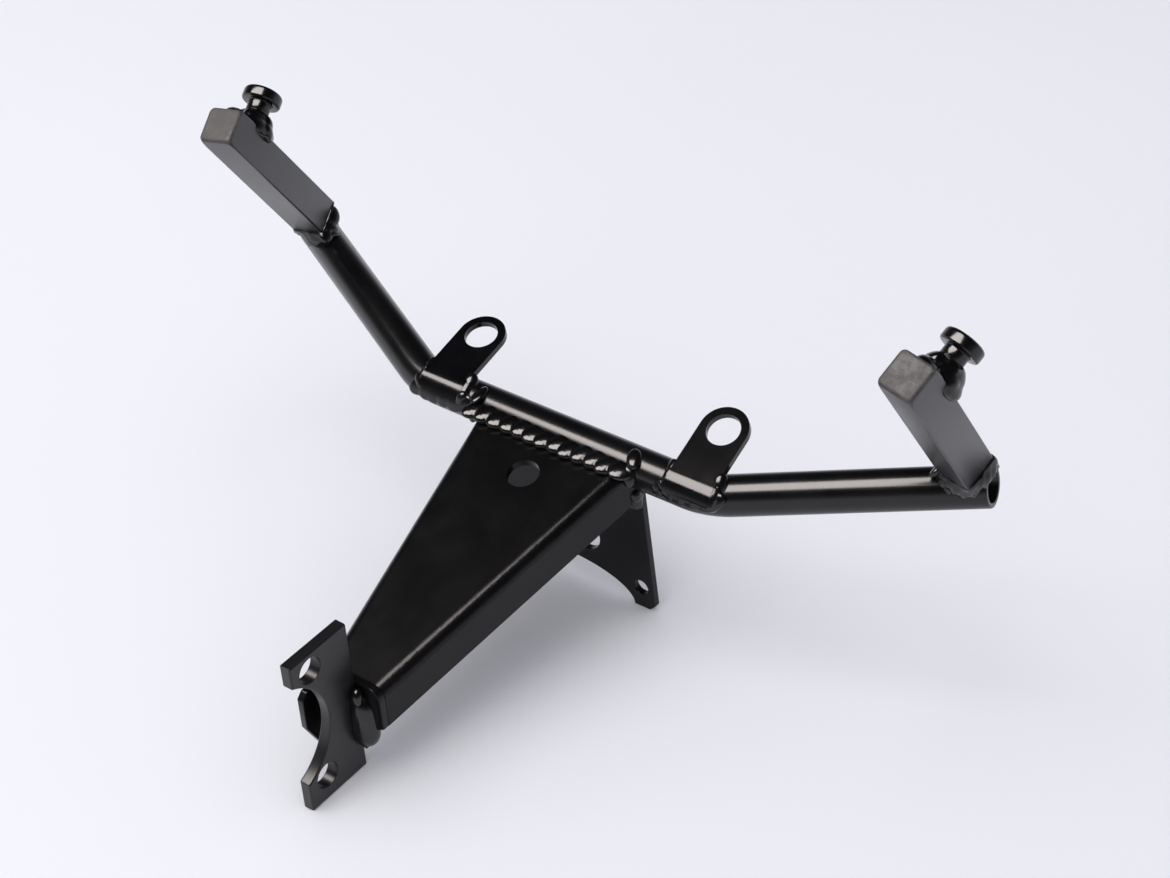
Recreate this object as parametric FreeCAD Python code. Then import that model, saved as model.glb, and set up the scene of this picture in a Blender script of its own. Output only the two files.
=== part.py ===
"""Fairing stay: a welded bracket that carries a motorbike's upper fairing.

Frame: origin at the middle of the two head bolts, X along the cross tube (the stay is
symmetrical about X = 0), the arm runs back along +Y from the head plate to the tube, Z up.
The stay stands on the lower edge of the head plate and on the two feet of the foot plate.
"""

import FreeCAD
import Part
import math
import os

V = FreeCAD.Vector

# Cross tube: one length, bent twice
TUBE_OD = 16.0
TUBE_WALL = 2.0
TUBE_REACH = 148.4      # head bolts to tube axis, along Y
TUBE_HEIGHT = 32.2      # tube axis above the head bolts' middle
BEND_SPAN = 136.4       # between the two bend corners
BEND_RADIUS = 42.0
ARM_LENGTH = 106.5      # bend corner to open end
ARM_SWEEP = 23.8        # degrees back from X
ARM_RISE = 9.8          # degrees up

# Posts: square bar, leaning forward from the tube ends
POST_SIDE = 15.0
POST_LENGTH = 78.3
POST_EDGE = 0.7         # broken edges
POST_INSET = 11.0       # tube's open end back to the post
POST_LEAN = 33.5        # degrees forward from vertical
POST_TURN = 12.0        # degrees about its own axis
POST_OFFSET = 4.3       # post axis behind the tube axis
POST_STANDOFF = 5.0     # lower end above the tube's surface, filled by weld
POST_WELD_INSET = 1.2

# Pegs: turned, with a groove for a grommet
PEG_DROP = 19.0         # below the post's upper end
PEG_SHAFT_D = 9.5
PEG_SHAFT_LENGTH = 12.5
PEG_HEAD_D = 16.0
PEG_HEAD_HEIGHT = 5.0
PEG_HEAD_BEVEL = 1.4
PEG_COLLAR_D = 14.2
PEG_COLLAR_HEIGHT = 4.0
COLLAR_WAIST = 0.42     # hollow of the weld collar, as a share of its width and height

# Lugs: flat strip whose foot is bent round the tube
LEFT_LUG_STATION = 54.5   # from the middle of the stay
RIGHT_LUG_STATION = 64.0
LUG_WIDTH = 20.0
LUG_THICKNESS = 2.5
LUG_HOLE_D = 13.5
LEFT_LUG_TILT = 14.0    # degrees up from horizontal
RIGHT_LUG_TILT = 24.0
LUG_LENGTH = 22.5       # tangent point to hole
LUG_WRAP = 48.0         # degrees round the tube
LUG_BEAD_D = 5.2
BEAD_SIDES = 8

# Head plate: two bolt holes and a round notch
HEAD_THICKNESS = 5.0
HEAD_HOLE_SPACING = 51.0
HEAD_HOLE_D = 10.5
HEAD_FRONT = 9.4        # bolt line to front edge
HEAD_BACK = 19.6        # bolt line to back edge
HEAD_TOP = 7.3          # upper bolt to top edge
HEAD_BOTTOM = 10.6      # lower bolt to bottom edge
HEAD_EDGE = 0.5
NOTCH_RADIUS = 25.5
NOTCH_DEPTH = 15.0      # from the front edge

# Arm: sheet folded to a tapering channel, open below
ARM_SHEET = 3.0
ARM_FOLD_RADIUS = 5.0
ARM_WALL_HEIGHT = 17.5
ARM_SLOPE = 14.0        # degrees down towards the head plate
ARM_WIDE = 74.0         # over the walls, at the tube's axis
ARM_NARROW = 28.0       # over the walls, at the end cap
ARM_TOP_ABOVE_TUBE = 4.3  # top sheet above the tube's axis, over that axis
ARM_HOLE_D = 13.0
ARM_HOLE_STATION = 25.0   # tube axis to hole, along Y

# End cap: closes the channel and backs the head plate
CAP_THICKNESS = 3.0
CAP_DROP = 15.0         # below the channel's walls
CAP_FOOT = 7.5          # width at its lower end
CAP_FLANK_IN = 0.3      # hollow flank's middle, as a share of its run out
CAP_FLANK_UP = 0.62     # and of its rise
TAB_THICKNESS = 3.0
TAB_LENGTH = 14.6
TAB_DROP = 28.0         # below the cap's upper edge
TAB_INSET = 1.0         # inside the channel's outer wall
TAB_TOP_CHAMFER = 2.6
TAB_LOW_CHAMFER = 6.0
TAB_ROOT_RISE = 9.0
HEAD_BEAD = 6.0

# Foot plate: under the tube, across the arm's wide end
FOOT_THICKNESS = 3.0
FOOT_FRONT = 2.0        # front face ahead of the tube's axis
FOOT_TOP_MARGIN = 0.2   # beyond the arm's wall, each side
FOOT_SPREAD = 4.8       # wider at the floor, each side
FOOT_CORNER = 2.6
FOOT_HOLE_D = 6.6
FOOT_HOLE_EDGE = 6.5    # foot's outer edge to hole
FOOT_HOLE_HEIGHT = 9.8
FOOT_LAND = 10.0        # width of each foot
ARCH_HEIGHT = 12.2
SLOT_MARGIN = 20.7      # slot's end to the arm's outer wall
SLOT_HEIGHT = 15.0
SLOT_CENTRE = 25.4      # above the feet

# Arm weld: a bead along the tube
ARM_BEAD_D = 7.6
ARM_BEAD_MARGIN = 3.0
FOOT_BEAD_D = 6.0
WELD_HOLLOW = 0.35      # how full a fillet is at its middle, as a share of its leg
SMALLEST_BEAD = 1.0     # mm3, slivers below this are dropped

TUBE_R = TUBE_OD / 2
FOOT_TOP_WIDTH = ARM_WIDE + 2 * FOOT_TOP_MARGIN
FOOT_WIDTH = FOOT_TOP_WIDTH + 2 * FOOT_SPREAD
FOOT_HOLE_SPAN = FOOT_WIDTH - 2 * FOOT_HOLE_EDGE
ARCH_WIDTH = FOOT_WIDTH - 2 * FOOT_LAND
SLOT_LENGTH = ARM_WIDE - 2 * SLOT_MARGIN
HALF_SPAN = BEND_SPAN / 2
FLOOR = -HEAD_HOLE_SPACING / 2 - HEAD_BOTTOM
SIDES = (("left", -1, (LEFT_LUG_STATION, LEFT_LUG_TILT)), ("right", 1, (RIGHT_LUG_STATION, RIGHT_LUG_TILT)))


def unit(v):
    return v.multiply(1 / v.Length)


def polygon(points):
    return Part.Face(Part.makePolygon(points + points[:1]))


def turned(profile, base, axis):
    """Revolve a profile drawn in XZ about Z, then stand it at base along axis."""
    solid = polygon(profile).revolve(V(0, 0, 0), V(0, 0, 1), 360)
    solid.Placement = FreeCAD.Placement(base, FreeCAD.Rotation(V(0, 0, 1), axis))
    return solid


def mirrored(shape, side):
    return shape if side > 0 else shape.mirror(V(0, 0, 0), V(1, 0, 0))


def solids_of(shape):
    found = shape.Solids
    return found[0] if len(found) == 1 else Part.makeCompound(found)


# Tube
sweep, rise = math.radians(ARM_SWEEP), math.radians(ARM_RISE)
arm_dir = V(math.cos(rise) * math.cos(sweep), math.cos(rise) * math.sin(sweep), math.sin(rise))
corner = V(HALF_SPAN, TUBE_REACH, TUBE_HEIGHT)
arm_end = corner + arm_dir * ARM_LENGTH


def tube_path():
    bend = math.acos(arm_dir.x)
    run = BEND_RADIUS * math.tan(bend / 2)
    inner, outer = corner - V(run, 0, 0), corner + arm_dir * run
    to_centre = unit(arm_dir - V(1, 0, 0))
    middle = corner + to_centre * (BEND_RADIUS / math.cos(bend / 2) - BEND_RADIUS)

    def flip(p):
        return V(-p.x, p.y, p.z)

    return Part.Wire([
        Part.makeLine(flip(arm_end), flip(outer)),
        Part.Arc(flip(outer), flip(middle), flip(inner)).toShape(),
        Part.makeLine(flip(inner), inner),
        Part.Arc(inner, middle, outer).toShape(),
        Part.makeLine(outer, arm_end),
    ])


def tube_solid(radius):
    start = V(-arm_end.x, arm_end.y, arm_end.z)
    along = V(arm_dir.x, -arm_dir.y, -arm_dir.z)
    section = Part.Wire(Part.makeCircle(radius, start, along))
    return tube_path().makePipeShell([section], True, False)


tube_outer = tube_solid(TUBE_R)
main_tube = tube_outer.cut(tube_solid(TUBE_R - TUBE_WALL))

# Posts, pegs and their welds, built on the right
lean, turn = math.radians(POST_LEAN), math.radians(POST_TURN)
post_axis = V(0, -math.sin(lean), math.cos(lean))
straight_back = V(0, math.cos(lean), math.sin(lean))
post_back = straight_back * math.cos(turn) + V(1, 0, 0) * math.sin(turn)
post_out = V(1, 0, 0) * math.cos(turn) - straight_back * math.sin(turn)
post_foot = corner + arm_dir * (ARM_LENGTH - POST_INSET) + post_back * POST_OFFSET
post_low = post_foot + post_axis * (TUBE_R + POST_STANDOFF)


def square_bar(side, start, length):
    half = side / 2
    corners = [start + post_out * (half * i) + post_back * (half * j)
               for i, j in ((-1, -1), (1, -1), (1, 1), (-1, 1))]
    return polygon(corners).extrude(post_axis * length)


def make_post():
    bar = square_bar(POST_SIDE, post_low, POST_LENGTH)
    return bar.makeChamfer(POST_EDGE, bar.Edges)


def make_post_weld():
    fill = square_bar(POST_SIDE - 2 * POST_WELD_INSET, post_foot, TUBE_R + POST_STANDOFF)
    return max(fill.cut(tube_outer).Solids, key=lambda s: s.CenterOfMass.z)


peg_base = post_low + post_axis * (POST_LENGTH - PEG_DROP) + post_back * (POST_SIDE / 2)


def make_peg():
    shaft, head = PEG_SHAFT_D / 2, PEG_HEAD_D / 2
    rim, top = PEG_SHAFT_LENGTH, PEG_SHAFT_LENGTH + PEG_HEAD_HEIGHT
    soft = PEG_HEAD_BEVEL
    profile = [V(0, 0, 0), V(shaft, 0, 0), V(shaft, 0, rim), V(head - soft, 0, rim), V(head, 0, rim + soft),
               V(head, 0, top - soft), V(head - soft, 0, top), V(0, 0, top)]
    return turned(profile, peg_base, post_back)


def make_peg_weld():
    shaft, foot, height = PEG_SHAFT_D / 2, PEG_COLLAR_D / 2, PEG_COLLAR_HEIGHT
    waist = shaft + (foot - shaft) * COLLAR_WAIST
    profile = [V(shaft, 0, 0), V(foot, 0, 0), V(waist, 0, height * COLLAR_WAIST), V(shaft, 0, height)]
    return turned(profile, peg_base, post_back)


# Lugs and their beads, built on the right; a lug is its station and its tilt
wrap = math.radians(LUG_WRAP)
tube_centre = V(0, TUBE_REACH, TUBE_HEIGHT)


def lug_up(lug):
    tilt = math.radians(lug[1])
    return V(0, -math.sin(tilt), math.cos(tilt))


def on_lug(lug, aside, along, up):
    """Point on a lug: aside of its middle, along its strip and up from the tube's axis."""
    rise_dir = lug_up(lug)
    strip_dir = V(0, rise_dir.z, -rise_dir.y)
    return tube_centre + V(lug[0] + aside, 0, 0) + strip_dir * along + rise_dir * up


def round_tube(lug, aside, radius, angle):
    """Point at radius from the tube's axis, angle forward from where the strip lands."""
    return on_lug(lug, aside, -radius * math.sin(angle), radius * math.cos(angle))


def make_lug(lug):
    low, high = TUBE_R, TUBE_R + LUG_THICKNESS
    spare = TUBE_R - LUG_THICKNESS
    half = LUG_WIDTH / 2
    tip = LUG_LENGTH + half
    through = 2 * TUBE_OD
    start, end = on_lug(lug, -half, 0, high), round_tube(lug, -half, high, wrap)
    side = Part.Face(Part.Wire([
        Part.makeLine(on_lug(lug, -half, tip, low), on_lug(lug, -half, 0, low)),
        Part.makeLine(on_lug(lug, -half, 0, low), on_lug(lug, -half, 0, spare)),
        Part.makeLine(on_lug(lug, -half, 0, spare), round_tube(lug, -half, spare, wrap)),
        Part.makeLine(round_tube(lug, -half, spare, wrap), end),
        Part.Arc(end, round_tube(lug, -half, high, wrap / 2), start).toShape(),
        Part.makeLine(start, on_lug(lug, -half, tip, high)),
        Part.makeLine(on_lug(lug, -half, tip, high), on_lug(lug, -half, tip, low)),
    ]))
    strip = side.extrude(V(LUG_WIDTH, 0, 0))
    under = on_lug(lug, 0, LUG_LENGTH, -through)
    keep = Part.makeCylinder(half, 2 * through, under, lug_up(lug))
    back = [on_lug(lug, i * half, j, -through)
            for i, j in ((-1, LUG_LENGTH), (1, LUG_LENGTH), (1, -through), (-1, -through))]
    outline = keep.fuse(polygon(back).extrude(lug_up(lug) * (2 * through)))
    hole = Part.makeCylinder(LUG_HOLE_D / 2, 2 * through, under, lug_up(lug))
    return solids_of(strip.common(outline).cut(hole).cut(tube_outer))


def make_lug_weld(lug, strip):
    """A bead each side of the strip, of eight-sided section, round the tube."""
    beads = []
    r = LUG_BEAD_D / 2
    for end in (-1, 1):
        aside = end * LUG_WIDTH / 2
        path = Part.Wire(Part.Arc(round_tube(lug, aside, TUBE_R, wrap), round_tube(lug, aside, TUBE_R, wrap / 2),
                                  on_lug(lug, aside, 0, TUBE_R)).toShape())
        turns = [2 * math.pi * i / BEAD_SIDES for i in range(BEAD_SIDES + 1)]
        section = Part.makePolygon([round_tube(lug, aside + r * math.cos(t), TUBE_R + r * math.sin(t), wrap)
                                    for t in turns])
        raw = path.makePipeShell([section], True, False)
        beads += raw.cut(tube_outer).cut(strip).Solids
    return Part.makeCompound([b for b in beads if b.Volume > SMALLEST_BEAD])


# Head plate, end cap and tab
head_x = HEAD_THICKNESS / 2
hole_z = HEAD_HOLE_SPACING / 2
head_top = hole_z + HEAD_TOP


def make_head_plate():
    outline = [V(-head_x, y, z) for y, z in (
        (-HEAD_FRONT, FLOOR), (HEAD_BACK, FLOOR), (HEAD_BACK, head_top), (-HEAD_FRONT, head_top))]
    plate = polygon(outline).extrude(V(HEAD_THICKNESS, 0, 0))
    notch_centre = V(-head_x, NOTCH_DEPTH - HEAD_FRONT - NOTCH_RADIUS, 0)
    plate = plate.cut(Part.makeCylinder(NOTCH_RADIUS, HEAD_THICKNESS, notch_centre, V(1, 0, 0)))
    for end in (-1, 1):
        at = V(-head_x, 0, end * hole_z)
        plate = plate.cut(Part.makeCylinder(HEAD_HOLE_D / 2, HEAD_THICKNESS, at, V(1, 0, 0)))
    broken = [e for e in plate.Edges
              if abs(e.CenterOfMass.x) > head_x - 0.01 and not e.isClosed()
              and e.CenterOfMass.y < HEAD_BACK - 0.01]
    return plate.makeChamfer(HEAD_EDGE, broken)


slope = math.radians(ARM_SLOPE)
arm_up = V(0, -math.sin(slope), math.cos(slope))
arm_top = tube_centre + V(0, 0, ARM_TOP_ABOVE_TUBE)
cap_back = HEAD_BACK + CAP_THICKNESS
wall_drop = ARM_WALL_HEIGHT / math.cos(slope)


def top_z(y):
    """Height of the arm's top sheet at y."""
    return arm_top.z - (TUBE_REACH - y) * math.tan(slope)


def tapering_block(inset, drop, fold):
    """The arm's outside, or with an inset its inside, with both top edges rounded."""
    sections = []
    for y, width in ((TUBE_REACH, ARM_WIDE), (cap_back, ARM_NARROW)):
        half, top = width / 2 - inset, top_z(y) - inset
        corners = [V(-half, y, top), V(half, y, top), V(half, y, top - drop), V(-half, y, top - drop)]
        sections.append(Part.makePolygon(corners + corners[:1]))
    block = Part.makeLoft(sections, True, True)
    long_edges = [e for e in block.Edges if e.BoundBox.YLength > 0]
    upper = sorted(long_edges, key=lambda e: e.CenterOfMass.z)[-2:]
    return block.makeFillet(fold, upper)


def make_box_arm():
    outside = tapering_block(0, wall_drop, ARM_FOLD_RADIUS)
    inside = tapering_block(ARM_SHEET, 2 * wall_drop, ARM_FOLD_RADIUS - ARM_SHEET)
    behind = Part.makeBox(2 * ARM_WIDE, TUBE_REACH, 4 * ARM_WIDE,
                          V(-ARM_WIDE, TUBE_REACH - FOOT_FRONT, TUBE_HEIGHT - 2 * ARM_WIDE))
    hole_at = V(0, TUBE_REACH - ARM_HOLE_STATION, top_z(TUBE_REACH - ARM_HOLE_STATION))
    hole = Part.makeCylinder(ARM_HOLE_D / 2, 2 * ARM_FOLD_RADIUS,
                             hole_at - arm_up * ARM_FOLD_RADIUS, arm_up)
    return solids_of(outside.cut(inside).cut(behind).cut(tube_outer).cut(hole))


cap_top = top_z(cap_back)
cap_low = cap_top - wall_drop


def cap_face():
    half, foot, low = ARM_NARROW / 2, CAP_FOOT / 2, cap_low - CAP_DROP
    bend, lean_out = ARM_FOLD_RADIUS, math.sqrt(0.5)
    y = HEAD_BACK

    def shoulder(side):
        c = V(side * (half - bend), y, cap_top - bend)
        return c + V(side * bend, 0, 0), c + V(side * bend * lean_out, 0, bend * lean_out), c + V(0, 0, bend)

    def flank(side):
        """Hollow curve from the wall's lower corner in to the foot."""
        start, end = V(side * half, y, cap_low), V(side * foot, y, low)
        middle = V(side * (foot + (half - foot) * CAP_FLANK_IN), y, low + CAP_DROP * CAP_FLANK_UP)
        return start, middle, end

    r1, r2, r3 = shoulder(1)
    l1, l2, l3 = shoulder(-1)
    f1, f2, f3 = flank(1)
    g1, g2, g3 = flank(-1)
    outline = Part.Wire([
        Part.makeLine(l3, r3), Part.Arc(r3, r2, r1).toShape(), Part.makeLine(r1, f1),
        Part.Arc(f1, f2, f3).toShape(), Part.makeLine(f3, g3), Part.Arc(g3, g2, g1).toShape(),
        Part.makeLine(g1, l1), Part.Arc(l1, l2, l3).toShape(),
    ])
    return Part.Face(outline)


def make_end_cap():
    return cap_face().extrude(V(0, CAP_THICKNESS, 0))


def make_nose_tab():
    x = -ARM_NARROW / 2 + TAB_INSET
    top = cap_top - TAB_TOP_CHAMFER
    low = top - TAB_DROP
    front, back = HEAD_BACK - TAB_LENGTH, HEAD_BACK
    outline = [
        V(x, back, top), V(x, front + TAB_TOP_CHAMFER, top), V(x, front, top - TAB_TOP_CHAMFER),
        V(x, front, low + 2 * TAB_LOW_CHAMFER), V(x, front + TAB_LOW_CHAMFER, low),
        V(x, back - TAB_LOW_CHAMFER / 2, low), V(x, back, low + TAB_ROOT_RISE),
    ]
    return polygon(outline).extrude(V(TAB_THICKNESS, 0, 0))


def make_head_weld():
    beads = []
    ahead_of_cap = cap_face().extrude(V(0, -HEAD_BEAD, 0))
    for side in (-1, 1):
        x, y = side * head_x, HEAD_BACK
        hollow = V(x + side * HEAD_BEAD * WELD_HOLLOW, y - HEAD_BEAD * WELD_HOLLOW, cap_low - CAP_DROP)
        foot = V(x, y, cap_low - CAP_DROP)
        out, fore = foot + V(side * HEAD_BEAD, 0, 0), foot - V(0, HEAD_BEAD, 0)
        section = Part.Face(Part.Wire([
            Part.makeLine(foot, out), Part.Arc(out, hollow, fore).toShape(), Part.makeLine(fore, foot)]))
        bead = section.extrude(V(0, 0, wall_drop + CAP_DROP - ARM_FOLD_RADIUS))
        beads += bead.common(ahead_of_cap).Solids
    return Part.makeCompound(beads)


# Foot plate
def make_foot_plate():
    y = TUBE_REACH - FOOT_FRONT
    half, top = FOOT_WIDTH / 2, FOOT_TOP_WIDTH / 2
    outline = [V(x, y, z) for x, z in (
        (-half + FOOT_CORNER, FLOOR), (half - FOOT_CORNER, FLOOR), (half, FLOOR + FOOT_CORNER),
        (top, TUBE_HEIGHT), (-top, TUBE_HEIGHT), (-half, FLOOR + FOOT_CORNER))]
    plate = polygon(outline).extrude(V(0, FOOT_THICKNESS, 0))
    arch_line = Part.Ellipse(V(ARCH_WIDTH / 2, y, FLOOR), V(0, y, FLOOR + ARCH_HEIGHT), V(0, y, FLOOR))
    arch = Part.Face(Part.Wire(arch_line.toShape())).extrude(V(0, FOOT_THICKNESS, 0))
    r = SLOT_HEIGHT / 2
    run, mid = SLOT_LENGTH / 2 - r, FLOOR + SLOT_CENTRE
    slot = Part.Face(Part.Wire([
        Part.makeLine(V(-run, y, mid + r), V(run, y, mid + r)),
        Part.Arc(V(run, y, mid + r), V(run + r, y, mid), V(run, y, mid - r)).toShape(),
        Part.makeLine(V(run, y, mid - r), V(-run, y, mid - r)),
        Part.Arc(V(-run, y, mid - r), V(-run - r, y, mid), V(-run, y, mid + r)).toShape(),
    ])).extrude(V(0, FOOT_THICKNESS, 0))
    plate = plate.cut(arch).cut(slot).cut(tube_outer)
    for side in (-1, 1):
        at = V(side * FOOT_HOLE_SPAN / 2, y, FLOOR + FOOT_HOLE_HEIGHT)
        plate = plate.cut(Part.makeCylinder(FOOT_HOLE_D / 2, FOOT_THICKNESS, at, V(0, 1, 0)))
    return solids_of(plate)


# Welds of the arm and foot plate
def make_arm_weld(box_arm):
    top_y = TUBE_REACH - math.sqrt(TUBE_R ** 2 - (top_z(TUBE_REACH - TUBE_R) - TUBE_HEIGHT) ** 2)
    half = ARM_WIDE / 2 - ARM_BEAD_MARGIN
    at = V(-half, top_y, top_z(top_y))
    raw = Part.makeCylinder(ARM_BEAD_D / 2, 2 * half, at, V(1, 0, 0))
    pieces = raw.cut(tube_outer).cut(box_arm).Solids
    return max(pieces, key=lambda s: s.CenterOfMass.z)


def make_foot_weld(box_arm, foot_plate):
    beads = []
    y = TUBE_REACH - FOOT_FRONT
    for side in (-1, 1):
        at = V(side * (ARM_WIDE - ARM_SHEET) / 2, y, top_z(y) - wall_drop)
        raw = Part.makeCylinder(FOOT_BEAD_D / 2, FOOT_BEAD_D, at - V(0, 0, FOOT_BEAD_D / 2), V(0, 0, 1))
        beads += raw.cut(foot_plate).cut(box_arm).cut(tube_outer).Solids
    return Part.makeCompound([b for b in beads if b.CenterOfMass.y < y and b.Volume > SMALLEST_BEAD])


box_arm = make_box_arm()
foot_plate = make_foot_plate()
nodes = {
    "main_tube": main_tube,
    "box_arm": box_arm,
    "end_cap": make_end_cap(),
    "nose_tab": make_nose_tab(),
    "head_plate": make_head_plate(),
    "foot_plate": foot_plate,
    "weld_arm": make_arm_weld(box_arm),
    "weld_head": make_head_weld(),
    "weld_foot": make_foot_weld(box_arm, foot_plate),
}
pair = {
    "post": make_post(),
    "weld_post": make_post_weld(),
    "peg": make_peg(),
    "weld_peg": make_peg_weld(),
}
for side_name, side, lug in SIDES:
    strip = make_lug(lug)
    own = {"lug": strip, "weld_lug": make_lug_weld(lug, strip)}
    for name, shape in (pair | own).items():
        nodes[f"{side_name}_{name}"] = mirrored(shape, side)

os.makedirs("parts", exist_ok=True)
for name, shape in nodes.items():
    shape.exportStep(f"parts/{name}.step")
    print(name, len(shape.Solids), shape.isValid(), round(shape.Volume, 1))
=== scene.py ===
import math

import bmesh
import bpy
from mathutils import Matrix, Vector


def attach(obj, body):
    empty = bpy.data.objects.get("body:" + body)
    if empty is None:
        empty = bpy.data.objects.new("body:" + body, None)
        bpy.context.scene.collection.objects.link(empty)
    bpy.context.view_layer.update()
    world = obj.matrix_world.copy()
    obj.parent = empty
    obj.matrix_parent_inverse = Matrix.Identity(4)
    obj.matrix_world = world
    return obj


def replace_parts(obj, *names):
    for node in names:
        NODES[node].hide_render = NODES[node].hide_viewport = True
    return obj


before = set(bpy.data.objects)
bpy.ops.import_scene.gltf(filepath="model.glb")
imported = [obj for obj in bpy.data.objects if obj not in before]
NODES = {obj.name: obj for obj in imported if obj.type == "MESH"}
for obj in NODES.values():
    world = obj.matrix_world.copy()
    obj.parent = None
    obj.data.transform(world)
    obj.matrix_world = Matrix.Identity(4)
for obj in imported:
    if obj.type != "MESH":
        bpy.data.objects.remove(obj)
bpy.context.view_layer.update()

MM = 0.001
SIDES = (("left", -1), ("right", 1))

# Sizes of the stay, in millimetres and degrees, as in its source
TUBE_R, BORE_R = 8.0, 6.0
TUBE_REACH, TUBE_HEIGHT = 148.4, 32.2
HALF_SPAN, BEND_RADIUS = 68.2, 42.0
ARM_LENGTH, ARM_SWEEP, ARM_RISE = 106.5, 23.8, 9.8
POST_SIDE, POST_LENGTH, POST_STATION = 15.0, 78.3, 95.5
POST_LEAN, POST_TURN, POST_OFFSET, POST_STANDOFF = 33.5, 12.0, 4.3, 5.0
PEG_DROP = 19.0
LUG_PLACE = {"left": -54.5, "right": 64.0}
LUG_TILT = {"left": 14.0, "right": 24.0}
LUG_WIDTH, LUG_WRAP = 20.0, 48.0
BOX_SLOPE, BOX_WIDE, BOX_WALL, BOX_ABOVE = 14.0, 74.0, 17.5, 4.3
HEAD_BACK, HEAD_HALF = 19.6, 2.5
FOOT_FRONT = 2.0
FLOOR = -36.1

# Sizes that only the dressed part has: the slant of the tube's ends, and the forms of the welds
END_CUT = 10.0
LUG_FOOT_ANGLE = {"left": 56.0, "right": 44.0}
SEAM_AHEAD, SEAM_INSET, SEAM_PROUD = 6.9, 2.0, 0.7
SWIRL_ASIDE, SWIRL_FROM, SWIRL_STEP = 2.4, 78.0, 8.0
SKIRT_RISE, SKIRT_LIP, SKIRT_SPREAD = 0.9, 0.3, 3.6
SKIRT_PROUD, SKIRT_LUMP, SKIRT_LOBES, SKIRT_SQUARE = 0.6, 0.55, 9, 12
PEG_BEAD_RINGS = ((6.2, 1.2), (4.7, 4.4))       # radius, height up the peg
SWELL_SIDE, SWELL_FORE, SWELL_HALF = 7.4, 5.2, 12.5
MERGE_GAP = 0.004


def unit(v):
    return Vector(v).normalized()


def across(v, side):
    """A point or direction of the right half, taken to the given side."""
    return Vector((v.x * side, v.y, v.z))


def angles(count):
    return [2 * math.pi * i / count for i in range(count)]


# Lines and frames that the pieces share
X_AXIS = Vector((1, 0, 0))
sweep, rise = math.radians(ARM_SWEEP), math.radians(ARM_RISE)
ARM_DIR = Vector((math.cos(rise) * math.cos(sweep), math.cos(rise) * math.sin(sweep), math.sin(rise)))
CORNER = Vector((HALF_SPAN, TUBE_REACH, TUBE_HEIGHT))
BEND = math.acos(ARM_DIR.x)
BEND_RUN = BEND_RADIUS * math.tan(BEND / 2)
BEND_START = HALF_SPAN - BEND_RUN
BEND_INWARD = unit(ARM_DIR - X_AXIS)
lean, turn = math.radians(POST_LEAN), math.radians(POST_TURN)
POST_AXIS = Vector((0, -math.sin(lean), math.cos(lean)))
STRAIGHT_BACK = Vector((0, math.cos(lean), math.sin(lean)))
POST_BACK = STRAIGHT_BACK * math.cos(turn) + Vector((math.sin(turn), 0, 0))
POST_OUT = Vector((math.cos(turn), 0, 0)) - STRAIGHT_BACK * math.sin(turn)
POST_FOOT = CORNER + ARM_DIR * POST_STATION + POST_BACK * POST_OFFSET
POST_LOW = POST_FOOT + POST_AXIS * (TUBE_R + POST_STANDOFF)
PEG_BASE = POST_LOW + POST_AXIS * (POST_LENGTH - PEG_DROP) + POST_BACK * (POST_SIDE / 2)


def box_top(y):
    return TUBE_HEIGHT + BOX_ABOVE - (TUBE_REACH - y) * math.tan(math.radians(BOX_SLOPE))


class Value:
    """A shader socket that can be added, subtracted and multiplied."""

    def __init__(self, finish, out):
        self.finish, self.out = finish, out

    def __add__(self, other):
        return self.finish.math("ADD", self, other)

    def __sub__(self, other):
        return self.finish.math("SUBTRACT", self, other)

    def __mul__(self, other):
        return self.finish.math("MULTIPLY", self, other)

    __radd__ = __add__
    __rmul__ = __mul__


class Finish:
    """The node tree of a material or a world, filled one call at a time."""

    def __init__(self, owner):
        owner.use_nodes = True
        self.owner, self.tree = owner, owner.node_tree
        self.tree.nodes.clear()

    def node(self, kind, settings=None, sockets=None, out=0):
        made = self.tree.nodes.new(kind)
        for key, value in (settings or {}).items():
            if key == "stops":
                ramp = made.color_ramp
                for i, (place, colour) in enumerate(value):
                    stop = ramp.elements[i] if i < 2 else ramp.elements.new(place)
                    stop.position, stop.color = place, colour
            else:
                setattr(made, key, value)
        for key, value in (sockets or {}).items():
            if isinstance(value, Value):
                self.tree.links.new(value.out, made.inputs[key])
            else:
                made.inputs[key].default_value = value
        return Value(self, made.outputs[out]) if made.outputs else None

    def math(self, operation, a, b):
        return self.node("ShaderNodeMath", {"operation": operation}, {0: a, 1: b})

    def place(self, scale=(1, 1, 1)):
        here = self.node("ShaderNodeTexCoord", out="Object")
        return self.node("ShaderNodeMapping", None, {"Vector": here, "Scale": scale})

    def noise(self, vector, scale, detail, rough):
        return self.node("ShaderNodeTexNoise", None, {
            "Vector": vector, "Scale": scale, "Detail": detail, "Roughness": rough})

    def band(self, value, low, high):
        return self.node("ShaderNodeMapRange", {"interpolation_type": "SMOOTHSTEP"}, {
            "Value": value, "From Min": low, "From Max": high})

    def blend(self, share, a, b):
        return self.node("ShaderNodeMix", {"data_type": "RGBA"}, {0: share, 6: a, 7: b}, out=2)

    def bump(self, height, strength, depth):
        return self.node("ShaderNodeBump", None, {"Strength": strength, "Distance": depth, "Height": height})

    def surface(self, shader):
        self.node("ShaderNodeOutputMaterial", None, {"Surface": shader})
        return self.owner


INK, SOOT = (0.0024, 0.0022, 0.0027, 1), (0.0050, 0.0046, 0.0055, 1)
PLATE_DARK, PLATE_PALE = (0.007, 0.0064, 0.0078, 1), (0.011, 0.0103, 0.0122, 1)
BAR_DARK, BAR_PALE = (0.013, 0.0118, 0.0145, 1), (0.020, 0.0183, 0.0218, 1)
SAWN_PALE = (0.075, 0.060, 0.058, 1)
EVEN_MARKS = (300.0, 300.0, 300.0)


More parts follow.
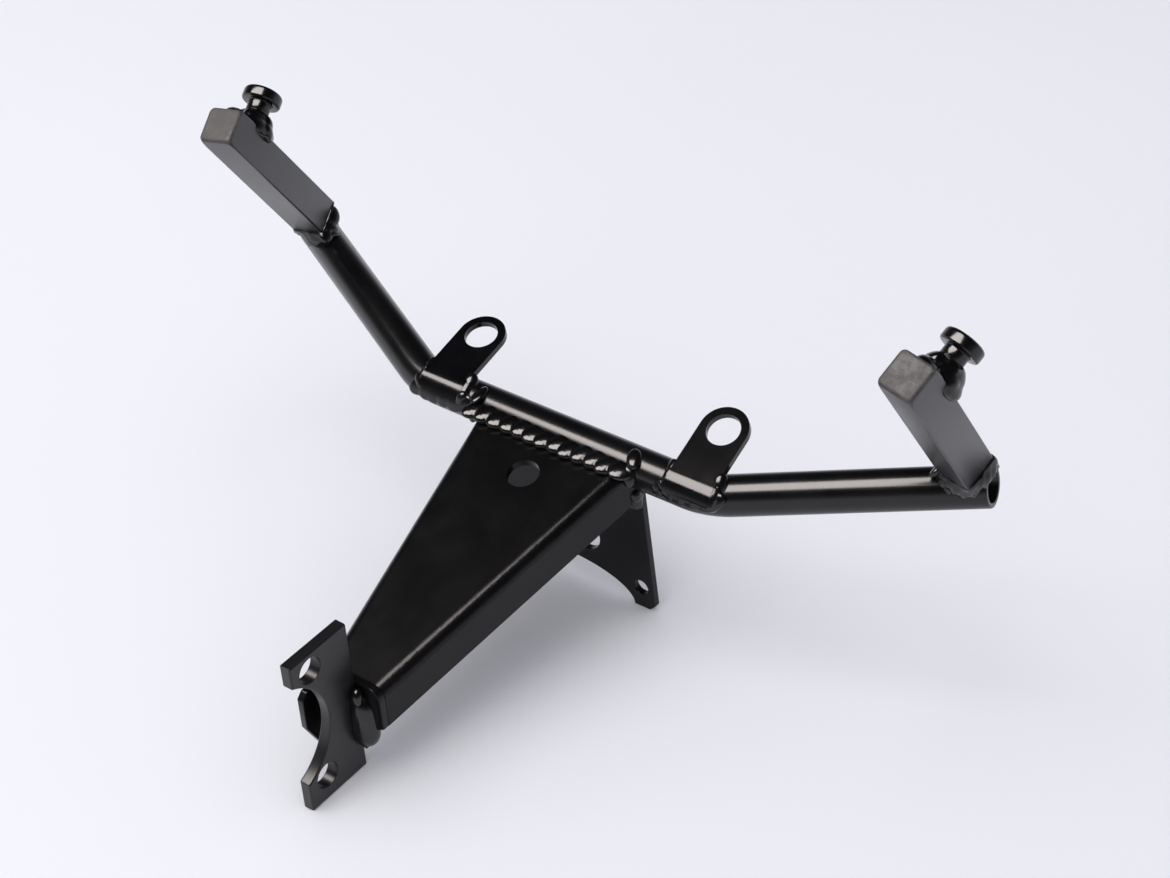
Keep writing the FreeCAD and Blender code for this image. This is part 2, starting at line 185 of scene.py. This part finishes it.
def black_coat(name, base, worn, rough, ior, peel, marks=EVEN_MARKS, mark_depth=0.0, ends=0.0):
    """Black coat over metal: cloudy gloss, a fine skin, drawing marks, and blotches on sawn bar ends."""
    f = Finish(bpy.data.materials.new(name))
    place = f.place()
    cloud = f.noise(place, scale=45.0, detail=4.0, rough=0.6)
    skin = f.noise(place, scale=620.0, detail=2.0, rough=0.55)
    lines = f.noise(f.place(marks), scale=1.0, detail=4.0, rough=0.65)
    colour = f.blend(f.band(cloud, 0.35, 0.75), base, worn)
    gloss = rough + (cloud - 0.5) * 0.08 + (lines - 0.5) * (0.02 + mark_depth * 0.5)
    height = skin * peel + lines * mark_depth
    if ends:
        along = f.node("ShaderNodeVectorMath", {"operation": "DOT_PRODUCT"},
                       {0: place, 1: POST_AXIS}, out="Value")
        top = (POST_LOW.dot(POST_AXIS) + POST_LENGTH) * MM
        sawn = f.band(along, top - 2.0 * MM, top - 0.9 * MM)
        blotch = f.band(f.noise(place, scale=260.0, detail=5.0, rough=0.72), 0.36, 0.66)
        colour = f.blend(sawn * blotch * ends, colour, SAWN_PALE)
        gloss = gloss + sawn * (0.30 + 0.24 * blotch)
        height = height + sawn * blotch * 1.1
    return f.surface(f.node("ShaderNodeBsdfPrincipled", None, {
        "Base Color": colour, "Roughness": gloss, "IOR": ior,
        "Normal": f.bump(height, strength=0.55, depth=0.12 * MM)}))


FINISHES = {
    "tube": black_coat("tube_coat", INK, SOOT, rough=0.21, ior=1.48, peel=0.05,
                       marks=(18.0, 420.0, 420.0), mark_depth=0.04),
    "sheet": black_coat("sheet_coat", INK, SOOT, rough=0.24, ior=1.31, peel=0.07,
                        marks=(320.0, 34.0, 320.0), mark_depth=0.04),
    "plate": black_coat("plate_coat", PLATE_DARK, PLATE_PALE, rough=0.30, ior=1.46, peel=0.12,
                        marks=(320.0, 320.0, 30.0), mark_depth=0.08),
    "bar": black_coat("bar_coat", BAR_DARK, BAR_PALE, rough=0.30, ior=1.62, peel=0.14,
                      marks=(520.0, 60.0, 60.0), mark_depth=0.10, ends=0.8),
    "peg": black_coat("peg_coat", INK, SOOT, rough=0.17, ior=1.52, peel=0.05),
    "strip": black_coat("strip_coat", INK, SOOT, rough=0.13, ior=1.46, peel=0.07,
                        marks=(300.0, 40.0, 40.0), mark_depth=0.05),
    "weld": black_coat("weld_coat", INK, SOOT, rough=0.18, ior=1.52, peel=0.08),
}


def show(obj, slot):
    obj.data.materials.clear()
    obj.data.materials.append(FINISHES[slot])
    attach(obj, "root")
    return obj


def fresh(name, data):
    made = bpy.data.objects.new(name, data)
    bpy.context.scene.collection.objects.link(made)
    return made


def flatten(obj, name):
    """The object with its modifiers worked in, as a plain mesh under a new name."""
    bpy.context.view_layer.update()
    mesh = bpy.data.meshes.new_from_object(obj.evaluated_get(bpy.context.evaluated_depsgraph_get()))
    bpy.data.objects.remove(obj)
    mesh.name = name
    return fresh(name, mesh)


def flat_faces(obj):
    """Keeps large faces flat under smooth shading, so that the rounding stays in the edges."""
    obj.modifiers.new("flat_faces", "WEIGHTED_NORMAL").weight = 100


# Edges of the cut and folded pieces, softened under the coat
def softened(node, slot, width):
    mesh = NODES[node].data.copy()
    bm = bmesh.new()
    bm.from_mesh(mesh)
    bmesh.ops.remove_doubles(bm, verts=bm.verts, dist=MERGE_GAP * MM)
    bmesh.ops.dissolve_limit(bm, angle_limit=math.radians(0.6), verts=bm.verts, edges=bm.edges)
    bmesh.ops.recalc_face_normals(bm, faces=bm.faces)
    for face in bm.faces:
        face.smooth = True
    bm.to_mesh(mesh)
    bm.free()
    if mesh.has_custom_normals:
        mesh.normals_split_custom_set([(0, 0, 0)] * len(mesh.loops))
    raw = fresh(node + "_raw", mesh)
    soft = raw.modifiers.new("edges", "BEVEL")
    soft.width, soft.segments = width * MM, 3
    soft.limit_method, soft.angle_limit = "ANGLE", math.radians(28.0)
    soft.use_clamp_overlap = True
    flat_faces(raw)
    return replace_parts(show(flatten(raw, node + "_coated"), slot), node)


for name, slot, width in (
        ("box_arm", "sheet", 0.45), ("end_cap", "sheet", 0.4), ("nose_tab", "sheet", 0.5),
        ("head_plate", "plate", 0.35), ("foot_plate", "sheet", 0.45),
        ("left_lug", "strip", 0.55), ("right_lug", "strip", 0.55)):
    softened(name, slot, width)


def loft(name, rings, slot, node, flat_sides=False):
    """Closed skin over rings of points in millimetres, with a face over each end."""
    around = len(rings[0])
    faces = [tuple(range(around)), tuple((len(rings) - 1) * around + i for i in range(around))]
    for r in range(len(rings) - 1):
        for i in range(around):
            j = (i + 1) % around
            faces.append((r * around + i, r * around + j, (r + 1) * around + j, (r + 1) * around + i))
    bm = bmesh.new()
    corners = [bm.verts.new(p * MM) for points in rings for p in points]
    for face in faces:
        bm.faces.new([corners[i] for i in face]).smooth = True
    bmesh.ops.recalc_face_normals(bm, faces=bm.faces)
    mesh = bpy.data.meshes.new(name)
    bm.to_mesh(mesh)
    bm.free()
    made = fresh(name, mesh)
    if flat_sides:
        flat_faces(made)
        made = flatten(made, name)
    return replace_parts(show(made, slot), node)


# Posts: sawn square bar, filed round at the upper end (height, inset, corner radius)
POST_STAGES = (
    (0.0, 0.0, 0.7), (POST_LENGTH - 6.0, 0.0, 0.7), (POST_LENGTH - 3.0, 0.0, 1.1),
    (POST_LENGTH - 1.5, 0.0, 1.9), (POST_LENGTH - 0.85, 0.15, 2.0), (POST_LENGTH - 0.35, 0.5, 2.0),
    (POST_LENGTH - 0.08, 1.0, 1.9), (POST_LENGTH, 1.6, 1.8))


def bar_ring(height, inset, corner, side, steps=6):
    flat = POST_SIDE / 2 - inset - corner
    ring = []
    for quarter in range(4):
        middle = math.pi / 2 * (quarter + 0.5)
        for i in range(steps + 1):
            a = math.pi / 2 * (quarter + i / steps)
            u = math.copysign(flat, math.cos(middle)) + corner * math.cos(a)
            v = math.copysign(flat, math.sin(middle)) + corner * math.sin(a)
            ring.append(across(POST_LOW + POST_AXIS * height + POST_OUT * u + POST_BACK * v, side))
    return ring


# Pegs: turned in one piece, with a flat-rimmed head (height, radius)
PEG_OUTLINE = ((0.0, 4.75), (11.9, 4.75), (12.35, 5.05), (12.5, 5.5), (12.5, 7.2), (12.75, 7.75), (13.3, 8.0),
               (16.0, 8.0), (16.6, 7.85), (17.1, 7.5), (17.5, 6.7), (17.5, 5.0), (17.3, 4.4), (17.3, 0.5))


def peg_ring(height, radius, side):
    middle = PEG_BASE + POST_BACK * height
    return [across(middle + POST_OUT * radius * math.cos(a) + POST_AXIS * radius * math.sin(a), side)
            for a in angles(64)]


for name, side in SIDES:
    bar_rings = [bar_ring(*stage, side) for stage in POST_STAGES]
    loft(name + "_post_coated", bar_rings, "bar", name + "_post", flat_sides=True)
    peg_rings = [peg_ring(height, radius, side) for height, radius in PEG_OUTLINE]
    loft(name + "_peg_coated", peg_rings, "peg", name + "_peg", flat_sides=True)


# Cross tube, swept along its bent line with rolled rims
def tube_line(arc_steps=14):
    """Points and directions along the right half's middle line, from its end to the start of the bend."""
    centre = CORNER + BEND_INWARD * (BEND_RADIUS / math.cos(BEND / 2))
    start, end = CORNER - X_AXIS * BEND_RUN - centre, CORNER + ARM_DIR * BEND_RUN - centre
    half = [(CORNER + ARM_DIR * ARM_LENGTH, ARM_DIR)]
    for i in range(arc_steps + 1):
        near, far = math.sin(i / arc_steps * BEND), math.sin((1 - i / arc_steps) * BEND)
        spoke = (end * far + start * near) / math.sin(BEND)
        half.append((centre + spoke, unit(ARM_DIR * far + X_AXIS * near)))
    return half


def tube_rings(around=72, rim=0.45, bore_depth=60.0):
    """Rings from deep in the left bore, over its rim, along the outside, and into the right bore."""
    half = tube_line()
    line = [(across(p, -1), Vector((t.x, -t.y, -t.z))) for p, t in half] + half[::-1]
    plane = unit(X_AXIS.cross(ARM_DIR))
    slip = math.tan(math.radians(END_CUT))
    lip = ((bore_depth, BORE_R), (rim, BORE_R), (rim * 0.3, BORE_R + rim * 0.3), (0.0, BORE_R + rim),
           (0.0, TUBE_R - rim), (rim * 0.3, TUBE_R - rim * 0.3), (rim, TUBE_R))

    def ring(centre, ahead, radius, cut=0.0):
        """Ring about the line; cut slides its front points back along the line."""
        side = ahead.cross(plane)
        front = unit(Vector((0, -1, 0)) + ahead * ahead.y)
        spokes = [(plane * math.cos(a) + side * math.sin(a)) * radius for a in angles(around)]
        return [centre + spoke + ahead * (cut * (TUBE_R + spoke.dot(front))) for spoke in spokes]

    (first, first_way), (last, last_way) = line[0], line[-1]
    rings = [ring(first + first_way * depth, first_way, radius, slip) for depth, radius in lip]
    rings += [ring(point, ahead, TUBE_R) for point, ahead in line[1:-1]]
    rings += [ring(last - last_way * depth, last_way, radius, -slip) for depth, radius in reversed(lip)]
    return rings


loft("main_tube_coated", tube_rings(), "tube", "main_tube")


# Weld beads: ripples laid along a path
def ripple_tree():
    """Node group that lays leaning drops along a path, each turned to the path's own up direction."""
    tree = bpy.data.node_groups.new("weld_ripples", "GeometryNodeTree")
    face = tree.interface
    face.new_socket("Path", in_out="INPUT", socket_type="NodeSocketGeometry")
    for name in ("Pitch", "Width", "Height", "Lean", "Slant", "Overlap"):
        face.new_socket(name, in_out="INPUT", socket_type="NodeSocketFloat")
    face.new_socket("Seed", in_out="INPUT", socket_type="NodeSocketInt")
    face.new_socket("Coat", in_out="INPUT", socket_type="NodeSocketMaterial")
    face.new_socket("Bead", in_out="OUTPUT", socket_type="NodeSocketGeometry")

    def node(kind, settings=None, sockets=None):
        made = tree.nodes.new(kind)
        for key, value in (settings or {}).items():
            setattr(made, key, value)
        for key, value in (sockets or {}).items():
            if isinstance(value, bpy.types.NodeSocket):
                tree.links.new(value, made.inputs[key])
            else:
                made.inputs[key].default_value = value
        return made.outputs

    given = node("NodeGroupInput")
    line = node("GeometryNodeMeshToCurve", None, {"Mesh": given["Path"]})["Curve"]
    stops = node("GeometryNodeResampleCurve", {"mode": "LENGTH"},
                 {"Curve": line, "Length": given["Pitch"]})["Curve"]
    ahead = node("GeometryNodeInputTangent")["Tangent"]
    up = node("GeometryNodeInputNamedAttribute", {"data_type": "FLOAT_VECTOR"}, {"Name": "up"})["Attribute"]
    turned = node("FunctionNodeAxesToRotation", {"primary_axis": "Z", "secondary_axis": "X"},
                  {"Primary Axis": up, "Secondary Axis": ahead})["Rotation"]
    tip = node("ShaderNodeCombineXYZ", None, {"Y": given["Lean"], "Z": given["Slant"]})["Vector"]
    tip_turn = node("FunctionNodeEulerToRotation", None, {"Euler": tip})["Rotation"]
    tipped = node("FunctionNodeRotateRotation", {"rotation_space": "LOCAL"},
                  {"Rotation": turned, "Rotate By": tip_turn})["Rotation"]
    drop = node("GeometryNodeMeshUVSphere", None, {"Segments": 20, "Rings": 12, "Radius": 1.0})["Mesh"]
    long = node("ShaderNodeMath", {"operation": "MULTIPLY"},
                {0: given["Pitch"], 1: given["Overlap"]})["Value"]
    wide = node("ShaderNodeMath", {"operation": "MULTIPLY"}, {0: given["Width"], 1: 0.5})["Value"]
    size = node("ShaderNodeCombineXYZ", None, {"X": long, "Y": wide, "Z": given["Height"]})["Vector"]
    shaped = node("GeometryNodeTransform", None, {"Geometry": drop, "Scale": size})["Geometry"]
    jitter = node("FunctionNodeRandomValue", {"data_type": "FLOAT_VECTOR"},
                  {"Min": (0.92, 0.88, 0.85), "Max": (1.08, 1.10, 1.15), "Seed": given["Seed"]})["Value"]
    laid = node("GeometryNodeInstanceOnPoints", None, {
        "Points": stops, "Instance": shaped, "Rotation": tipped, "Scale": jitter})["Instances"]
    real = node("GeometryNodeRealizeInstances", None, {"Geometry": laid})["Geometry"]
    coated = node("GeometryNodeSetMaterial", None, {"Geometry": real, "Material": given["Coat"]})["Geometry"]
    node("NodeGroupOutput", None, {"Bead": coated})
    return tree


RIPPLES = ripple_tree()


def bead(name, paths, cores, pitch, width, height, overlap, lean, slant, seed, grain, easing,
         with_cores=True):
    """Rippled beads along paths, run together with the cores they lie on.

    A path is a list of (point, outward direction), in millimetres. Grain is the size of the remeshed skin,
    and easing the number of times it is smoothed.
    """
    mesh = bpy.data.meshes.new(name + "_path")
    steps = [step for path in paths for step in path]
    links, start = [], 0
    for path in paths:
        links += [(start + i, start + i + 1) for i in range(len(path) - 1)]
        start += len(path)
    mesh.from_pydata([p * MM for p, up in steps], links, [])
    outwards = mesh.attributes.new("up", "FLOAT_VECTOR", "POINT")
    for i, (p, up) in enumerate(steps):
        outwards.data[i].vector = unit(up)
    raw = fresh(name + "_path", mesh)
    ripples = raw.modifiers.new("ripples", "NODES")
    ripples.node_group = RIPPLES
    sizes = {"Pitch": pitch * MM, "Width": width * MM, "Height": height * MM, "Overlap": overlap,
             "Lean": lean, "Slant": slant, "Seed": seed, "Coat": FINISHES["weld"]}
    for item in RIPPLES.interface.items_tree:
        if item.in_out == "INPUT" and item.name in sizes:
            ripples[item.identifier] = sizes[item.name]
    laid = flatten(raw, name + "_laid")
    bm = bmesh.new()
    bm.from_mesh(laid.data)
    for core in cores if with_cores else ():
        bm.from_mesh(NODES[core].data)
    bmesh.ops.remove_doubles(bm, verts=bm.verts, dist=MERGE_GAP * MM)
    bm.to_mesh(laid.data)
    bm.free()
    joined = laid.modifiers.new("run_together", "REMESH")
    joined.mode, joined.voxel_size, joined.use_smooth_shade = "VOXEL", grain * MM, True
    eased = laid.modifiers.new("eased", "SMOOTH")
    eased.factor, eased.iterations = 0.5, easing
    made = show(flatten(laid, name), "weld")
    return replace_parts(made, *cores) if cores else made


def straight(start, end, up, steps=8):
    return [(start.lerp(end, i / steps), up) for i in range(steps + 1)]


def around_tube(x, angle, proud):
    """Point by the tube's straight middle, an angle forward of its top, and the way out from the axis."""
    turned_by = math.radians(angle)
    spoke = Vector((0, -math.sin(turned_by), math.cos(turned_by)))
    return Vector((x, TUBE_REACH, TUBE_HEIGHT)) + spoke * (TUBE_R + proud), spoke


# Arm to tube, with a swirl at each end
seam_y = TUBE_REACH - SEAM_AHEAD
seam_half = BOX_WIDE / 2 - SEAM_INSET
seam_up = unit((0, -0.46, 0.89))
seam_at = Vector((0, seam_y, box_top(seam_y))) + seam_up * SEAM_PROUD
seam_end = Vector((seam_half, 0, 0))
bead("arm_bead", [straight(seam_at - seam_end, seam_at + seam_end, seam_up)], ["weld_arm"],
     pitch=5.5, width=9.0, height=2.2, overlap=1.30, lean=0.42, slant=1.0, seed=1, grain=0.26, easing=3,
     with_cores=False)
swirls = []
for edge in (-1, 1):
    swirl = []
    for i in range(7):
        at, spoke = around_tube(edge * (seam_half + SWIRL_ASIDE), SWIRL_FROM - SWIRL_STEP * i, 0.3)
        swirl.append((at, spoke + X_AXIS * (edge * 0.3)))
    swirls.append(swirl)
bead("arm_bead_swirls", swirls, [],
     pitch=4.0, width=6.4, height=1.8, overlap=1.2, lean=0.35, slant=0.3, seed=5, grain=0.32, easing=5)


def lug_point(side_name, side, aside, angle, proud):
    """Point by the tube, aside of a lug's middle, which follows most of the bend where it has begun."""
    x = LUG_PLACE[side_name] + aside
    past = max(0.0, abs(x) - BEND_START)
    at, spoke = around_tube(x, LUG_TILT[side_name] + angle, proud)
    return at + across(BEND_INWARD, side) * (0.6 * past ** 2 / (2 * BEND_RADIUS)), spoke


def on_tube(point):
    """Nearest point of the right arm's outside, and the way out from its axis."""
    along = (point - CORNER).dot(ARM_DIR)
    spoke = unit(point - CORNER - ARM_DIR * along)
    return CORNER + ARM_DIR * along + spoke * TUBE_R, spoke


def post_skirt(side, around=64, shares=(0.0, 0.15, 0.3, 0.45, 0.6, 0.75, 0.9, 1.0)):
    """Rings of the weld that flows from a post's foot onto the tube, with one tucked in at each end."""
    half = POST_SIDE / 2
    toe_at, landing_at = POST_LOW + POST_AXIS * SKIRT_RISE, POST_LOW - POST_AXIS * (POST_STANDOFF + 1.5)
    rings = []
    for share in shares:
        ring = []
        for a in angles(around):
            c, s = math.cos(a), math.sin(a)
            square = (abs(c) ** SKIRT_SQUARE + abs(s) ** SKIRT_SQUARE) ** (-1 / SKIRT_SQUARE)
            flat = (POST_OUT * c + POST_BACK * s) * square
            away = unit(flat)
            spread = SKIRT_SPREAD * (1 - 0.5 * max(0.0, c))
            toe = toe_at + flat * (half + SKIRT_LIP)
            landing, spoke = on_tube(landing_at + away * (half * square ** 0.4 + spread))
            lump = math.sin(SKIRT_LOBES * a + 2.2 * side + 3.0 * share) * math.sin(4.0 * a + 7.0 * share)
            proud = SKIRT_PROUD * math.sin(math.pi * share) + SKIRT_LUMP * lump * min(1.0, 0.4 + 3 * share)
            lift = 0.4 * share + 0.5 * lump * share
            ring.append(toe.lerp(landing, share) + away * proud + spoke * lift)
        rings.append(ring)
    tucked, sunk = POST_LOW + POST_AXIS * (SKIRT_RISE + 1.0), CORNER + ARM_DIR * POST_STATION
    first = [tucked + (p - tucked) * 0.9 for p in rings[0]]
    last = [sunk + (p - sunk) * 0.6 for p in rings[-1]]
    return [[across(p, side) for p in ring] for ring in [first] + rings + [last]]


for name, side in SIDES:
    # Lug: both sides and the lower edge, round the tube
    sides = []
    for edge in (-1, 1):
        path = []
        for i in range(9):
            at, spoke = lug_point(name, side, edge * (LUG_WIDTH / 2 + 0.8), (LUG_WRAP + 6) * i / 8 - 6, 0.3)
            path.append((at, spoke + X_AXIS * (edge * 0.6)))
        sides.append(path)
    bead(f"{name}_lug_bead", sides, [f"{name}_weld_lug"],
         pitch=4.0, width=5.8, height=1.9, overlap=1.1, lean=0.35, slant=0.25, seed=3, grain=0.35, easing=5)
    lower = [lug_point(name, side, LUG_WIDTH * (i / 8 - 0.5), LUG_FOOT_ANGLE[name], 0.7) for i in range(9)]
    bead(f"{name}_lug_foot_bead", [lower], [],
         pitch=4.4, width=7.4, height=1.4, overlap=1.3, lean=0.15, slant=0.5, seed=7, grain=0.35, easing=6)
    # Peg's foot, on the post's back, and the mound from it to the bar's end
    base, out, back = across(PEG_BASE, side), across(POST_OUT, side), across(POST_BACK, side)
    rings = []
    for radius, height in PEG_BEAD_RINGS:
        spokes = [out * math.cos(a) + POST_AXIS * math.sin(a) for a in angles(24) + [2 * math.pi]]
        rings.append([(base + spoke * radius + back * height, spoke + back * 0.7) for spoke in spokes])
    rings.append(straight(base + POST_AXIS * 5.0, base + POST_AXIS * (PEG_DROP - 7.5), back))
    bead(f"{name}_peg_bead", rings, [f"{name}_weld_peg"],
         pitch=5.0, width=9.6, height=3.1, overlap=1.25, lean=0.15, slant=0.2, seed=11, grain=0.40, easing=14)
    # Post's foot, with lumps along its inner edge
    loft(f"{name}_post_skirt", post_skirt(side), "weld", f"{name}_weld_post")
    inner = POST_LOW - POST_OUT * (POST_SIDE / 2 - 0.3) - POST_AXIS * 1.8
    front, rear = (across(inner + POST_BACK * (POST_SIDE * share), side) for share in (-0.42, 0.15))
    lumps = straight(front, rear, across(POST_AXIS * 0.5 - POST_OUT, side), steps=6)
    bead(f"{name}_post_bead", [lumps], [],
         pitch=3.6, width=6.6, height=1.9, overlap=1.25, lean=0.3, slant=0.35, seed=51, grain=0.35, easing=7)

# Head plate to end cap: a smooth swell each side, with a round stop on top
swell_middle = box_top(HEAD_BACK + 3.0) - BOX_WALL / math.cos(math.radians(BOX_SLOPE))
stops = []
for name, side in SIDES:
    middle = Vector((side * (HEAD_HALF + 0.8), HEAD_BACK + 0.4, swell_middle))
    rings = []
    for i in range(25):
        share = -0.995 + 1.99 * i / 24
        girth = (1 - abs(share) ** 3) ** 0.5
        rings.append([middle + Vector((SWELL_SIDE * girth * math.cos(a), SWELL_FORE * girth * math.sin(a),
                                       SWELL_HALF * share)) for a in angles(48)])
    loft(name + "_head_swell", rings, "weld", "weld_head")
    top = Vector((side * (HEAD_HALF + 2.6), HEAD_BACK - 2.2, swell_middle + SWELL_HALF + 0.6))
    stops.append(straight(top, top + Vector((0, 0, 1.0)), Vector((side, -1, 0.5)), steps=1))
bead("head_stops", stops, [],
     pitch=4.6, width=5.2, height=2.6, overlap=0.7, lean=0.2, slant=0.0, seed=33, grain=0.35, easing=3)

# Foot plate to arm
foot_y = TUBE_REACH - FOOT_FRONT - 1.2
spots = []
for edge in (-1, 1):
    at = Vector((edge * (BOX_WIDE / 2 - 1.0), foot_y, box_top(foot_y) - BOX_WALL - 0.3))
    spots.append(straight(at, at + Vector((0, 0, 3.0)), Vector((edge, -0.8, 0)), steps=2))
bead("foot_spots", spots, ["weld_foot"],
     pitch=3.4, width=5.0, height=2.2, overlap=0.9, lean=0.3, slant=0.2, seed=41, grain=0.35, easing=3)

# Stage, lights and camera, in metres
FLOOR_REACH = 6.0
FLOOR_TONES = (0.85, 0.85, 0.885, 1), (0.875, 0.875, 0.90, 1)
SURROUND, SURROUND_STRENGTH = (0.84, 0.85, 0.90, 1), 0.88
CEILING = [(0.0, (0.80, 0.80, 0.84, 1)), (0.22, (0.16, 0.16, 0.17, 1)), (0.55, (0.008, 0.008, 0.009, 1))]
PANEL_TURN = 22.0
CAMERA_AT = Vector((0.4781, -0.4180, 0.5912))
CAMERA_ANGLES = (39.518, 37.137, 4.055)         # azimuth, elevation, roll
bpy.context.scene.view_settings.view_transform = "Standard"


def pale_floor():
    f = Finish(bpy.data.materials.new("pale_floor"))
    tone = f.noise(f.place(), scale=1.6, detail=2.0, rough=0.5)
    colour = f.blend(f.band(tone, 0.3, 0.7), *FLOOR_TONES)
    return f.surface(f.node("ShaderNodeBsdfPrincipled", None, {
        "Base Color": colour, "Roughness": 0.85, "Specular IOR Level": 0.0}))


floor_mesh = bpy.data.meshes.new("floor")
floor_corners = [(x * FLOOR_REACH, y * FLOOR_REACH, FLOOR * MM)
                 for x, y in ((-1, -1), (1, -1), (1, 1), (-1, 1))]
floor_mesh.from_pydata(floor_corners, [], [(0, 1, 2, 3)])
floor_mesh.materials.append(pale_floor())
fresh("floor", floor_mesh)


def softbox(name, centre, width, depth, power, colour):
    """Level light panel, swung about the upright by the turn that both panels share."""
    lamp = bpy.data.lights.new(name, "AREA")
    lamp.shape, lamp.size, lamp.size_y = "RECTANGLE", width, depth
    lamp.energy, lamp.color = power, colour
    obj = fresh(name, lamp)
    obj.location = centre
    obj.rotation_euler = (0, 0, math.radians(PANEL_TURN))
    return obj


# One panel lights the stay and the floor, and the other is seen in the gloss alone
key = softbox("key_softbox", (-0.45, -0.40, 1.35), width=1.5, depth=1.2, power=9.5,
              colour=(1.0, 0.98, 0.97))
key.visible_glossy = False
gloss = softbox("gloss_panel", (-0.315, -0.40, 1.15), width=1.3, depth=0.85, power=46.0,
                colour=(1.0, 0.93, 0.90))
gloss.visible_diffuse = False

# Pale surround, with a dark ceiling in the gloss
world = bpy.data.worlds.new("studio")
bpy.context.scene.world = world
sky = Finish(world)
way = sky.node("ShaderNodeTexCoord", out="Generated")
height = sky.node("ShaderNodeSeparateXYZ", None, {"Vector": way}, out="Z")
ceiling = sky.node("ShaderNodeValToRGB", {"stops": CEILING}, {"Fac": height})
shiny = sky.node("ShaderNodeLightPath", out="Is Glossy Ray")
seen = sky.blend(shiny, SURROUND, ceiling)
lit = sky.node("ShaderNodeBackground", None, {"Color": seen, "Strength": SURROUND_STRENGTH})
sky.node("ShaderNodeOutputWorld", None, {"Surface": lit})

camera = bpy.data.cameras.new("camera")
camera.sensor_width, camera.lens = 36.0, 74.376
camera.clip_start, camera.clip_end = 0.01, 50.0
camera_obj = fresh("camera", camera)
azimuth, elevation, roll = (math.radians(a) for a in CAMERA_ANGLES)
level = Vector((math.cos(azimuth), math.sin(azimuth), 0))
back = Vector((math.sin(azimuth), -math.cos(azimuth), math.tan(elevation))) * math.cos(elevation)
down = (-back).cross(level)
right = level * math.cos(roll) + down * math.sin(roll)
upward = level * math.sin(roll) - down * math.cos(roll)
turned = Matrix((right, upward, back)).transposed().to_4x4()
camera_obj.matrix_world = Matrix.Translation(CAMERA_AT) @ turned
bpy.context.scene.camera = camera_obj
